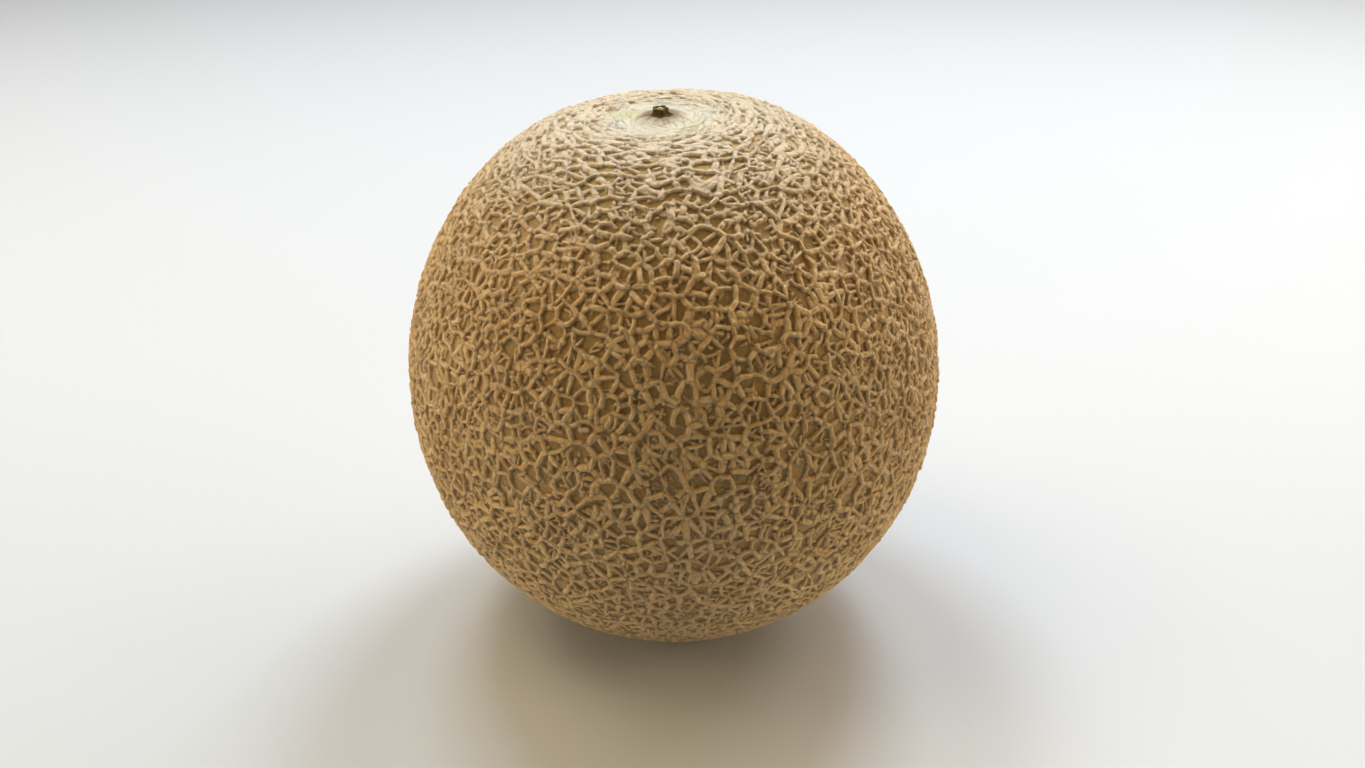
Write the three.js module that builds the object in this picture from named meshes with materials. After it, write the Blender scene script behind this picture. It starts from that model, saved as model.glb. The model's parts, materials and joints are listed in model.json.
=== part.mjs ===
// A cantaloupe melon standing on the flattened spot it lay on as it grew: one slightly egg-shaped
// fruit with a shallow dimple at the stem end, and the dried stub of its stalk on a low collar there.
// Millimetres, +Z up. The origin is in the plane of the resting spot, under the middle of the fruit.

import * as THREE from 'three';
import { mergeVertices } from 'three/addons/utils/BufferGeometryUtils.js';

// Driving dimensions

const FRUIT = {
  width: 150,          // across X, over the netting
  depth: 149,          // across Y: the fruit is a touch flatter front to back
  length: 161,         // along the stem axis, as if it had no dimple and no resting spot
  taper: 0.022,        // how much narrower than the middle the stem end is, and how much wider the foot
  leanLeft: 2.5,       // degrees that the stem axis leans towards -X
  leanForward: 1.5,    // degrees that it leans towards -Y
};
const DIMPLE = { depth: 8, radius: 22.5 };            // a soft hollow round the stem axis
const COLLAR = { height: 1.6, radius: 9, seat: 4.2 }; // skin drawn up to the stalk, flat where it stands
const REST_SPOT = { sink: 1.5 };                      // how much of the rounded end the flat spot takes off
const STUB = {
  radius: 3.1,         // at mid height
  height: 2.6,
  flare: 0.5,          // wider at the foot
  hollow: 0.8,         // the torn top is dished
  ridges: 5,
  ridgeDepth: 0.3,
};
const CONTACT_GAP = 0.3;   // left between the stub's foot and the fruit

const SEGMENTS = 56;       // round the stem axis
const RINGS = 40;          // from the resting spot to the stem
const POLE_CROWDING = 0.3; // 0 spaces the rings evenly, more draws them towards both ends

// The fruit's skin

const radiusX = FRUIT.width / 2;
const radiusY = FRUIT.depth / 2;
const radiusZ = FRUIT.length / 2;
const centreHeight = radiusZ - REST_SPOT.sink;

const lean = new THREE.Quaternion().setFromEuler(new THREE.Euler(
  THREE.MathUtils.degToRad(FRUIT.leanForward),
  THREE.MathUtils.degToRad(-FRUIT.leanLeft),
  0,
));

/** Height that the collar adds, at a distance from the stem axis. */
function collarRise(distance) {
  return COLLAR.height * (1 - THREE.MathUtils.smoothstep(distance, COLLAR.seat, COLLAR.radius));
}

/** The skin's height over the fruit's centre, along the stem axis, near the stem end. */
function stemEndHeight(height, distance) {
  const hollow = DIMPLE.depth * Math.exp(-((distance / DIMPLE.radius) ** 2));
  const level = radiusZ - DIMPLE.depth + COLLAR.height;
  return distance < COLLAR.seat ? level : height - hollow + collarRise(distance);
}

/** Turns a unit direction in the fruit's own axes into a point of its skin, standing on z = 0. */
function skinPoint(direction) {
  const swell = 1 - FRUIT.taper * direction.z;
  const point = new THREE.Vector3(
    radiusX * swell * direction.x,
    radiusY * swell * direction.y,
    radiusZ * direction.z,
  );
  if (direction.z > 0) point.z = stemEndHeight(point.z, Math.hypot(point.x, point.y));
  point.applyQuaternion(lean);
  point.z = Math.max(point.z + centreHeight, 0);
  return point;
}

/** Spaces the rings closer at both ends, and turns them from the resting spot's plane to the stem's. */
function ringDirection(vertex) {
  const even = Math.acos(THREE.MathUtils.clamp(vertex.z, -1, 1));
  const polar = even - POLE_CROWDING * Math.sin(2 * even);
  const around = Math.atan2(vertex.y, vertex.x);
  const direction = new THREE.Vector3(
    Math.sin(polar) * Math.cos(around),
    Math.sin(polar) * Math.sin(around),
    Math.cos(polar),
  );
  const levelled = new THREE.Quaternion().slerp(lean.clone().invert(), polar / Math.PI);
  return direction.applyQuaternion(levelled);
}

function fruitGeometry() {
  const sphere = new THREE.SphereGeometry(1, SEGMENTS, RINGS).rotateX(Math.PI / 2);
  sphere.deleteAttribute('normal');
  sphere.deleteAttribute('uv');
  const geometry = mergeVertices(sphere, 1e-5);
  const positions = geometry.getAttribute('position');
  const vertex = new THREE.Vector3();
  for (let i = 0; i < positions.count; i++) {
    const point = skinPoint(ringDirection(vertex.fromBufferAttribute(positions, i)));
    positions.setXYZ(i, point.x, point.y, point.z);
  }
  geometry.computeVertexNormals();
  return geometry;
}

// The stalk's stub

function stubGeometry() {
  const { radius, height, flare, hollow } = STUB;
  const profile = [
    [0, 0],
    [radius + flare, 0],
    [radius + flare / 3, height * 0.25],
    [radius, height * 0.55],
    [radius * 0.95, height * 0.85],
    [radius * 0.8, height],
    [radius * 0.5, height - hollow * 0.6],
    [0, height - hollow],
  ].map(([x, y]) => new THREE.Vector2(x, y));
  const lathe = new THREE.LatheGeometry(profile, STUB.ridges * 6).rotateX(Math.PI / 2);
  lathe.deleteAttribute('normal');
  lathe.deleteAttribute('uv');
  const geometry = mergeVertices(lathe, 1e-5);
  const positions = geometry.getAttribute('position');
  for (let i = 0; i < positions.count; i++) {
    const x = positions.getX(i);
    const y = positions.getY(i);
    const ridge = 1 + (STUB.ridgeDepth / radius) * Math.cos(STUB.ridges * Math.atan2(y, x));
    positions.setXYZ(i, x * ridge, y * ridge, positions.getZ(i));
  }
  geometry.computeVertexNormals();
  return geometry;
}

// Assembly

const rind = new THREE.MeshStandardMaterial({ color: 0xa8875a, roughness: 0.75, metalness: 0 });
const driedStalk = new THREE.MeshStandardMaterial({ color: 0x4a3a22, roughness: 0.85, metalness: 0 });

const melon = new THREE.Mesh(fruitGeometry(), rind);
melon.name = 'melon';

const stub = new THREE.Mesh(stubGeometry(), driedStalk);
stub.name = 'stem_stub';
stub.position.copy(skinPoint(new THREE.Vector3(0, 0, 1)));
stub.position.add(new THREE.Vector3(0, 0, CONTACT_GAP).applyQuaternion(lean));
stub.quaternion.copy(lean);

const cantaloupe = new THREE.Group();
cantaloupe.add(melon, stub);

export default cantaloupe;
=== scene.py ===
"""The looks of a netted cantaloupe melon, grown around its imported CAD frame.

The rind is one closed mesh whose cork net is real relief: cords follow two seeded cell networks and a
scatter of loose fingers, and are pressed onto the fruit's smooth form. Everything is in metres, +Z up.
"""

import json
import logging
import math
from dataclasses import dataclass, field
from enum import Enum

import bmesh
import bpy
import numpy as np
from mathutils import Euler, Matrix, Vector

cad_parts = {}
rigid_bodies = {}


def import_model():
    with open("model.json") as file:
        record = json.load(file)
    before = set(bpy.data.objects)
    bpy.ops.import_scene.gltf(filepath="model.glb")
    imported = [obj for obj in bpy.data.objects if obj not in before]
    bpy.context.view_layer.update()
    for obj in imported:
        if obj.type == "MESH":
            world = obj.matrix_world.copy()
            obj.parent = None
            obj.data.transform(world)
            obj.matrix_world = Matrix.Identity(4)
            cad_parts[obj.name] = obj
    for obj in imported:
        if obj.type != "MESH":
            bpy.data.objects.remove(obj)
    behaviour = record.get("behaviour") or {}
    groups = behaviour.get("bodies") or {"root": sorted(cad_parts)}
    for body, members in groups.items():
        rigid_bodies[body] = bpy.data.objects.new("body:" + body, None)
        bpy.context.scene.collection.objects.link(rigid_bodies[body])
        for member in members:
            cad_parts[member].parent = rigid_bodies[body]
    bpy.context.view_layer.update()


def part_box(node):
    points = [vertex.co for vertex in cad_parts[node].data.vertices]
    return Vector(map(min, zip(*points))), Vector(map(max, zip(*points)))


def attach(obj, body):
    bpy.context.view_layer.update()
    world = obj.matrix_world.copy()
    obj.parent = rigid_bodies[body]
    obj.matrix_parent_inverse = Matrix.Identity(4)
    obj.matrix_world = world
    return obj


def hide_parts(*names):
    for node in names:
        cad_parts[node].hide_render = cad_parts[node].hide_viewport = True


logging.basicConfig(level=logging.INFO, format="%(name)s: %(message)s")
LOG = logging.getLogger("melon")

MM = 0.001
ROOT = "root"

Array = np.ndarray
Colour = tuple[float, float, float]


# Small helpers


def smoothstep(value: Array, low: float, high: float) -> Array:
    """Eases from 0 at low to 1 at high.

    Args:
        value: The numbers to ease.
        low: Where the step starts.
        high: Where it ends. It may be less than low, and the step then falls.

    Returns:
        Numbers between 0 and 1.
    """
    t = np.clip((value - low) / (high - low), 0.0, 1.0)
    return t * t * (3.0 - 2.0 * t)


def unit(vectors: Array) -> Array:
    """Returns the vectors, along the last axis, at length 1."""
    return vectors / np.maximum(np.linalg.norm(vectors, axis=-1, keepdims=True), 1e-12)


def across(vectors: Array, normals: Array) -> Array:
    """Returns the part of each vector that is square to its normal."""
    return vectors - np.sum(vectors * normals, axis=-1, keepdims=True) * normals


class Ripple:
    """Smooth noise from a few waves in seeded directions, the same on every run."""

    SPREAD = (0.7, 1.5)
    LEVEL = 0.7

    def __init__(self, seed: int, wavelength: float, waves: int = 9) -> None:
        """Draws the waves.

        Args:
            seed: Picks this ripple's waves.
            wavelength: The typical length of a wave, in the units of the points it is read at.
            waves: How many waves are added up.
        """
        rng = np.random.default_rng(seed)
        lengths = wavelength * rng.uniform(*self.SPREAD, waves)
        self.pushes = unit(rng.normal(size=(waves, 3))) * (2.0 * math.pi / lengths)[:, None]
        self.phases = rng.uniform(0.0, 2.0 * math.pi, waves)

    def at(self, points: Array) -> Array:
        """Returns the noise at each point, mostly between -1 and 1."""
        total = np.zeros(len(points))
        for push, phase in zip(self.pushes, self.phases):
            total += np.sin(points @ push + phase)
        return total * math.sqrt(2.0 / len(self.phases)) * self.LEVEL


# The fruit's smooth form


@dataclass
class FruitForm:
    """The fruit without its net: a map from directions to points of the skin, in millimetres.

    Directions are unit vectors in the fruit's own axes, where +Z runs out through the stalk.
    """

    low: Vector
    high: Vector
    length_over_width: float = 161.0 / 150.0
    taper: float = 0.022
    lean_left: float = math.radians(2.5)
    lean_forward: float = math.radians(1.5)
    dimple_depth: float = 8.0
    dimple_radius: float = 22.5
    collar_height: float = 1.6
    collar_radius: float = 9.0
    collar_seat: float = 4.2
    rest_sink: float = 1.5

    def __post_init__(self) -> None:
        """Works out the radii and the lean from the frame's box."""
        size = (self.high - self.low) / MM
        self.radii = np.array([size.x, size.y, size.x * self.length_over_width]) / 2.0
        self.middle = np.array([(self.low.x + self.high.x), (self.low.y + self.high.y), 0.0]) / (2.0 * MM)
        self.middle[2] = self.low.z / MM + self.radii[2] - self.rest_sink
        left, forward = self.lean_left, self.lean_forward
        tip_left = np.array([
            [math.cos(left), 0.0, -math.sin(left)],
            [0.0, 1.0, 0.0],
            [math.sin(left), 0.0, math.cos(left)],
        ])
        tip_forward = np.array([
            [1.0, 0.0, 0.0],
            [0.0, math.cos(forward), -math.sin(forward)],
            [0.0, math.sin(forward), math.cos(forward)],
        ])
        self.lean = tip_forward @ tip_left

    def skin(self, directions: Array, lift: Array | float = 0.0) -> Array:
        """Finds the points of the skin in the given directions.

        Args:
            directions: Unit vectors in the fruit's own axes.
            lift: How far the points stand over the skin, in millimetres.

        Returns:
            Points in the part's frame, in millimetres, none lower than the resting plane.
        """
        swell = 1.0 - self.taper * directions[..., 2:]
        points = directions * self.radii
        points[..., :2] *= swell
        distance = np.linalg.norm(points[..., :2], axis=-1)
        upper = directions[..., 2] > 0.0
        hollow = self.dimple_depth * np.exp(-((distance / self.dimple_radius) ** 2))
        collar = self.collar_height * smoothstep(distance, self.collar_radius, self.collar_seat)
        points[..., 2] += np.where(upper, collar - hollow, 0.0)
        points += unit(directions / self.radii) * np.asarray(lift)[..., None]
        points = points @ self.lean.T + self.middle
        points[..., 2] = np.maximum(points[..., 2], self.low.z / MM)
        return points

    def stalk_seat(self) -> Array:
        """Returns the point of the collar's top that the stalk stands on."""
        top = self.radii[2] - self.dimple_depth + self.collar_height
        return self.lean @ np.array([0.0, 0.0, top]) + self.middle


# The grid that carries the relief


class FruitGrid:
    """Six square nets of directions that close into one even skin, with their shared edges joined."""

    SIDES = (
        ((1, 0, 0), (0, 1, 0), (0, 0, 1)),
        ((-1, 0, 0), (0, -1, 0), (0, 0, 1)),
        ((0, 1, 0), (-1, 0, 0), (0, 0, 1)),
        ((0, -1, 0), (1, 0, 0), (0, 0, 1)),
        ((0, 0, 1), (1, 0, 0), (0, 1, 0)),
        ((0, 0, -1), (0, 1, 0), (1, 0, 0)),
    )
    MAP_GAP = 0.004

    def __init__(self, cells: int) -> None:
        """Lays out the grid.

        Args:
            cells: How many squares each side has along an edge.
        """
        self.cells = cells
        steps = np.arange(cells + 1)
        slope = np.tan((steps / cells - 0.5) * (math.pi / 2.0))
        rows, columns = np.meshgrid(steps, steps, indexing="ij")
        keys, directions = [], []
        for out, right, up in self.axes():
            whole = (
                cells * out
                + (2 * rows - cells)[..., None] * right
                + (2 * columns - cells)[..., None] * up
            ).astype(np.int64) + cells
            keys.append((whole[..., 0] * (2 * cells + 1) + whole[..., 1]) * (2 * cells + 1) + whole[..., 2])
            directions.append(unit(out + slope[rows][..., None] * right + slope[columns][..., None] * up))
        _, first, back = np.unique(np.concatenate([k.ravel() for k in keys]), return_index=True,
                                   return_inverse=True)
        self.directions = np.concatenate([d.reshape(-1, 3) for d in directions])[first]
        self.ids = back.reshape(len(self.SIDES), cells + 1, cells + 1)
        ids = self.ids
        corners = (ids[:, :-1, :-1], ids[:, 1:, :-1], ids[:, 1:, 1:], ids[:, :-1, 1:])
        self.quads = np.stack([c.ravel() for c in corners], 1)

    @classmethod
    def axes(cls) -> list[tuple[Array, Array, Array]]:
        """Returns each side's outward, first and second axes."""
        return [tuple(np.array(a, float) for a in side) for side in cls.SIDES]

    def neighbours(self) -> tuple[Array, Array]:
        """Returns the two ends of every edge."""
        ids = self.ids
        along = np.stack([ids[:, :-1, :].ravel(), ids[:, 1:, :].ravel()], 1)
        over = np.stack([ids[:, :, :-1].ravel(), ids[:, :, 1:].ravel()], 1)
        ends = np.concatenate([along, over])
        return ends[:, 0], ends[:, 1]

    def map_corners(self) -> Array:
        """Lays the six sides out, three by two, on a square map.

        Returns:
            Two map coordinates for every corner of every quad.
        """
        step = 1.0 / self.cells
        steps = np.arange(self.cells) * step
        a, b = np.meshgrid(steps, steps, indexing="ij")
        corners = [(a, b), (a + step, b), (a + step, b + step), (a, b + step)]
        gap = self.MAP_GAP
        wide, tall = 1.0 / 3.0 - 2.0 * gap, 0.5 - 2.0 * gap
        places = []
        for side in range(len(self.SIDES)):
            left, low = (side % 3) / 3.0 + gap, (side // 3) / 2.0 + gap
            square = [np.stack([left + wide * x, low + tall * y], -1) for x, y in corners]
            places.append(np.stack(square, 2).reshape(-1, 4, 2))
        return np.concatenate(places)


class Smoother:
    """Averages numbers over neighbouring points of a grid."""

    def __init__(self, grid: FruitGrid) -> None:
        """Reads the grid's edges."""
        self.one, self.other = grid.neighbours()
        self.total = len(grid.directions)
        self.degree = np.bincount(self.one, minlength=self.total) + np.bincount(
            self.other, minlength=self.total)

    def soften(self, values: Array, rounds: int) -> Array:
        """Returns the values after so many rounds of mixing half of the neighbours' mean in."""
        for _ in range(rounds):
            near = np.bincount(self.one, values[self.other], self.total)
            near += np.bincount(self.other, values[self.one], self.total)
            values = 0.5 * values + 0.5 * near / self.degree
        return values


# The cork net


@dataclass
class Cords:
    """Short straight runs of cork, end to end, as arrays in millimetres."""

    start: Array
    end: Array
    half_start: Array
    half_end: Array
    rise_start: Array
    rise_end: Array
    run: Array
    tint: Array

    @staticmethod
    def joined(parts: list["Cords"]) -> "Cords":
        """Returns all the parts' runs as one set."""
        names = Cords.__dataclass_fields__
        return Cords(**{n: np.concatenate([getattr(p, n) for p in parts]) for n in names})


@dataclass
class Grain:
    """Draws the cells out round the stem: how many times wider than tall a cell is, by polar angle."""

    degrees: tuple[float, ...] = (0.0, 12.0, 20.0, 30.0, 45.0, 62.0, 180.0)
    ratios: tuple[float, ...] = (2.6, 2.45, 2.05, 1.6, 1.18, 1.0, 1.0)
    widths: tuple[float, ...] = (1.4, 1.4, 1.22, 1.04, 1.0, 1.05, 1.05)

    table_size: int = 6001
    table_margin: float = 1e-3

    def __post_init__(self) -> None:
        """Tabulates the stretched polar angle."""
        self.polar = np.linspace(self.table_margin, math.pi - self.table_margin, self.table_size)
        pace = self.ratio(self.polar) / np.sin(self.polar)
        climb = np.concatenate([[0.0], np.cumsum((pace[1:] + pace[:-1]) / 2.0 * np.diff(self.polar))])
        plain = math.radians(self.degrees[-2])
        self.climb = climb - np.interp(plain, self.polar, climb) + math.log(math.tan(plain / 2.0))

    def ratio(self, polar: Array) -> Array:
        """Returns how many times wider than tall the cells are at some polar angles."""
        return np.interp(np.degrees(polar), self.degrees, self.ratios)

    def width(self, directions: Array) -> Array:
        """Returns how wide cords are in some directions, against those round the fruit's waist."""
        polar = np.arccos(np.clip(directions[..., 2], -1.0, 1.0))
        return np.interp(np.degrees(polar), self.degrees, self.widths)

    def stretched(self, directions: Array) -> Array:
        """Moves real directions to where the cells are as wide as they are tall."""
        polar = np.arccos(np.clip(directions[:, 2], -1.0, 1.0))
        moved = 2.0 * np.arctan(np.exp(np.interp(polar, self.polar, self.climb)))
        return self.turned(directions, moved)

    def natural(self, directions: Array) -> Array:
        """Moves directions back from there."""
        polar = np.clip(np.arccos(np.clip(directions[:, 2], -1.0, 1.0)), 1e-9, math.pi - 1e-9)
        moved = np.interp(np.log(np.tan(polar / 2.0)), self.climb, self.polar)
        return self.turned(directions, moved)

    @staticmethod
    def turned(directions: Array, polar: Array) -> Array:
        """Returns the directions at new polar angles."""
        flat = unit(directions[:, :2])
        return np.concatenate([flat * np.sin(polar)[:, None], np.cos(polar)[:, None]], 1)


class Ending(Enum):
    """What happens to a network's edge."""

    WHOLE = 0
    FINGER = 1
    GONE = 2


@dataclass
class CellNet:
    """One network of cells on the fruit, and the cords that run along its edges."""

    form: FruitForm
    grain: Grain
    seed: int
    pitch: float
    half_width: float
    rise: float
    jitter: float = 0.33
    gone: float = 0.0
    fingers: float = 0.0
    wobble: float = 0.16
    step: float = 0.7
    most_steps: int = 14
    run_on: float = 0.65
    pull: float = 0.5
    finger_reach: tuple[float, float] = (0.35, 0.7)
    finger_taper: float = 0.35
    stoutness: tuple[float, float] = (0.74, 1.26)
    tallness: tuple[float, float] = (0.82, 1.08)
    butt_dip: tuple[float, float] = (0.25, 0.75)
    dip_ends: tuple[float, float] = (1.9, 0.5)
    width_change: float = 0.22
    rise_change: float = 0.14

    def __post_init__(self) -> None:
        """Seeds the dice, the slow changes in width and height, and the sway from side to side."""
        self.rng = np.random.default_rng(self.seed)
        self.width_drift = Ripple(self.seed + 1, 9.0)
        self.rise_drift = Ripple(self.seed + 2, 13.0)
        self.sway = tuple(Ripple(self.seed + number, 3.6) for number in (3, 4, 5))

    def seeds(self) -> Array:
        """Spreads the cells' middles evenly over the fruit, each pushed aside a little."""
        radius = float(self.form.radii.mean())
        count = int(4.0 * math.pi * radius**2 / (0.87 * self.pitch**2))
        turn = np.arange(count) * math.pi * (3.0 - math.sqrt(5.0)) + self.rng.uniform(0.0, 6.28)
        z = 1.0 - (2.0 * np.arange(count) + 1.0) / count
        ring = np.sqrt(1.0 - z * z)
        spiral = np.stack([ring * np.cos(turn), ring * np.sin(turn), z], 1)
        push = self.rng.normal(size=(count, 3)) * self.jitter * self.pitch / radius
        return unit(spiral + across(push, spiral))

    def edges(self, seeds: Array) -> tuple[Array, Array, Array]:
        """Finds the borders between the cells.

        Args:
            seeds: The cells' middles, as directions.

        Returns:
            The corners as directions, each border's two corners, and each corner's three borders, where
            a border is counted from 0 at its first end and on from their number at its second.
        """
        mesh = bmesh.new()
        for place in self.grain.stretched(seeds):
            mesh.verts.new(place)
        bmesh.ops.convex_hull(mesh, input=mesh.verts, use_existing_faces=False)
        bmesh.ops.triangulate(mesh, faces=mesh.faces)
        mesh.faces.index_update()
        mesh.faces.ensure_lookup_table()
        triangles = np.array([[v.co[:] for v in f.verts] for f in mesh.faces])
        pairs = np.array([[f.index for f in e.link_faces] for e in mesh.edges if len(e.link_faces) == 2])
        mesh.free()
        normals = np.cross(triangles[:, 1] - triangles[:, 0], triangles[:, 2] - triangles[:, 0])
        middles = triangles.mean(1)
        normals *= np.sign(np.sum(normals * middles, 1, keepdims=True))
        corners = self.grain.natural(unit(normals))
        ends = np.concatenate([pairs[:, 0], pairs[:, 1]])
        order = np.argsort(ends, kind="stable")
        whole = np.bincount(ends, minlength=len(corners)) == 3
        starts = np.searchsorted(ends[order], np.arange(len(corners)))
        places = (starts[:, None] + np.arange(3)).clip(0, len(order) - 1)
        meeting = np.where(whole[:, None], order[places], -1)
        return corners, pairs, meeting

    def headings(self, corners: Array, pairs: Array, meeting: Array) -> tuple[Array, Array]:
        """Lets the two straightest borders at each corner run on through it.

        Args:
            corners: The corners' directions.
            pairs: Each border's two corners.
            meeting: Each corner's three border ends.

        Returns:
            For each border's end at its first corner, then for each at its second: the heading in which it
            leaves, and whether it butts against the two that run on.
        """
        near = corners[np.concatenate([pairs[:, 0], pairs[:, 1]])]
        far = corners[np.concatenate([pairs[:, 1], pairs[:, 0]])]
        leave = unit(across(far - near, near))
        heading = leave.copy()
        full = meeting[meeting[:, 0] >= 0]
        arms = leave[full]
        combos = np.array([(0, 1), (0, 2), (1, 2)])
        bends = np.stack([np.sum(arms[:, a] * arms[:, b], 1) for a, b in combos], 1)
        best = combos[np.argmin(bends, 1)]
        rows = np.arange(len(full))
        one, two = full[rows, best[:, 0]], full[rows, best[:, 1]]
        through = unit(leave[one] - leave[two])
        heading[one] = unit((1.0 - self.run_on) * leave[one] + self.run_on * through)
        heading[two] = unit((1.0 - self.run_on) * leave[two] - self.run_on * through)
        butts = np.zeros(len(leave), bool)
        butts[full[rows, 3 - best.sum(1)]] = True
        return heading, butts

    def cords(self) -> Cords:
        """Runs a cord along every border that the dice keep."""
        corners, pairs, meeting = self.edges(self.seeds())
        heading, butts = self.headings(corners, pairs, meeting)
        odds = [1.0 - self.gone - self.fingers, self.fingers, self.gone]
        fate = self.rng.choice(len(Ending), len(pairs), p=odds)
        short = self.rng.uniform(*self.finger_reach, len(pairs))
        reach = np.where(fate == Ending.FINGER.value, short, 1.0)
        flip = self.rng.random(len(pairs)) < 0.5
        rows = np.arange(len(pairs))
        near_end = np.where(flip, rows + len(pairs), rows)
        far_end = np.where(flip, rows, rows + len(pairs))
        first = np.where(flip, pairs[:, 1], pairs[:, 0])
        last = np.where(flip, pairs[:, 0], pairs[:, 1])
        keep = fate != Ending.GONE.value
        stout = self.rng.uniform(*self.stoutness, len(pairs))
        dips = butts * self.rng.uniform(*self.butt_dip, len(butts))
        return self.strands(corners[first][keep], corners[last][keep], heading[near_end][keep],
                            heading[far_end][keep], reach[keep], stout[keep],
                            (dips[near_end][keep], dips[far_end][keep]))

    def strands(self, first: Array, last: Array, out: Array, back: Array, reach: Array,
                stout: Array, dips: tuple[Array, Array]) -> Cords:
        """Turns curved borders into short runs of cord.

        Args:
            first: Where each strand starts, as a direction.
            last: Where it ends.
            out: Its heading at the start.
            back: The heading from its end back along it.
            reach: How much of it is there, from 0 to 1.
            stout: How wide it is against the others.
            dips: How much lower it is just where it starts, and where it ends, from 0 to 1.

        Returns:
            The runs.
        """
        radius = float(self.form.radii.mean())
        length = np.linalg.norm(last - first, axis=1) * radius
        steps = np.clip(np.ceil(length * reach / self.step), 1, self.most_steps).astype(int)
        tint = self.rng.random(len(first))
        tall = self.rng.uniform(*self.tallness, len(first))
        offset = self.rng.uniform(0.0, 60.0, len(first))
        parts = []
        for count in np.unique(steps):
            mine = steps == count
            t = np.linspace(0.0, 1.0, count + 1)[None, :, None] * reach[mine][:, None, None]
            pull = self.pull * np.linalg.norm(last - first, axis=1)[mine][:, None, None]
            path = (
                (2 * t**3 - 3 * t**2 + 1) * first[mine][:, None]
                + (t**3 - 2 * t**2 + t) * pull * out[mine][:, None]
                + (3 * t**2 - 2 * t**3) * last[mine][:, None]
                - (t**3 - t**2) * pull * back[mine][:, None]
            )
            path = unit(path)
            flat = path.reshape(-1, 3)
            sway = np.stack([s.at(flat * radius) for s in self.sway], 1) * self.wobble / radius
            flat = unit(flat + across(sway, flat))
            place = self.form.skin(flat).reshape(path.shape)
            drift = self.width_drift.at(flat * radius).reshape(path.shape[:2])
            lift = self.rise_drift.at(flat * radius).reshape(path.shape[:2])
            loose = reach[mine] < 1.0
            thin = np.where(loose[:, None], 1.0 - self.finger_taper * t[..., 0] / reach[mine][:, None], 1.0)
            half = self.half_width * stout[mine][:, None] * (1.0 + self.width_change * drift) * thin
            half *= self.grain.width(flat).reshape(half.shape)
            gone = np.linalg.norm(np.diff(place, axis=1), axis=2)
            run = np.concatenate([np.zeros((len(gone), 1)), np.cumsum(gone, 1)], 1)
            dip = dips[0][mine][:, None] * smoothstep(run, *self.dip_ends)
            dip = np.maximum(dip, dips[1][mine][:, None] * smoothstep(run[:, -1:] - run, *self.dip_ends))
            rise = self.rise * tall[mine][:, None] * (1.0 + self.rise_change * lift) * thin * (1.0 - dip)
            run += offset[mine][:, None]
            parts.append(Cords(
                start=place[:, :-1].reshape(-1, 3), end=place[:, 1:].reshape(-1, 3),
                half_start=half[:, :-1].ravel(), half_end=half[:, 1:].ravel(),
                rise_start=rise[:, :-1].ravel(), rise_end=rise[:, 1:].ravel(),
                run=run[:, :-1].ravel(), tint=np.repeat(tint[mine], count),
            ))
        return Cords.joined(parts)


@dataclass
class LooseFingers:
    """Short cords that start anywhere and end in the open, some of them crowded into crumbly knots."""

    form: FruitForm
    grain: Grain
    seed: int
    count: int
    length: tuple[float, float]
    half_width: float
    rise: float
    knots: int = 0
    knot_radius: float = 1.8
    bare_crown: float = math.radians(27.0)
    bow: float = 0.35
    sideways_pull: float = 1.6
    stoutness: tuple[float, float] = (0.7, 1.25)
    wobble: float = 0.1
    loose: float = 0.999

    def cords(self) -> Cords:
        """Drops the fingers, all but those that would lie on the crown's neat rows."""
        rng = np.random.default_rng(self.seed)
        radius = float(self.form.radii.mean())
        middle = unit(rng.normal(size=(self.count, 3)))
        if self.knots:
            knots = unit(rng.normal(size=(self.knots, 3)))
            middle = knots[rng.integers(0, self.knots, self.count)]
            middle = unit(middle + across(rng.normal(size=middle.shape), middle) * self.knot_radius / radius)
        middle = middle[middle[:, 2] < math.cos(self.bare_crown)]
        count = len(middle)
        heading = unit(across(rng.normal(size=middle.shape), middle))
        around = unit(np.cross([0.0, 0.0, 1.0], middle))
        sideways = np.sum(heading * around, 1, keepdims=True) * around
        stretch = self.grain.ratio(np.arccos(np.clip(middle[:, 2], -1.0, 1.0)))
        heading = unit(heading + sideways * self.sideways_pull * (stretch - 1.0)[:, None])
        half_length = rng.uniform(*self.length, count)[:, None] / (2.0 * radius)
        first, last = unit(middle - heading * half_length), unit(middle + heading * half_length)
        spinner = CellNet(self.form, self.grain, self.seed + 1, 2.0 * radius, self.half_width, self.rise,
                          wobble=self.wobble)
        bow = across(rng.normal(size=middle.shape), middle) * self.bow
        level = np.zeros(count)
        return spinner.strands(first, last, unit(heading + bow), unit(bow - heading),
                               np.full(count, self.loose), rng.uniform(*self.stoutness, count),
                               (level, level))


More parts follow.
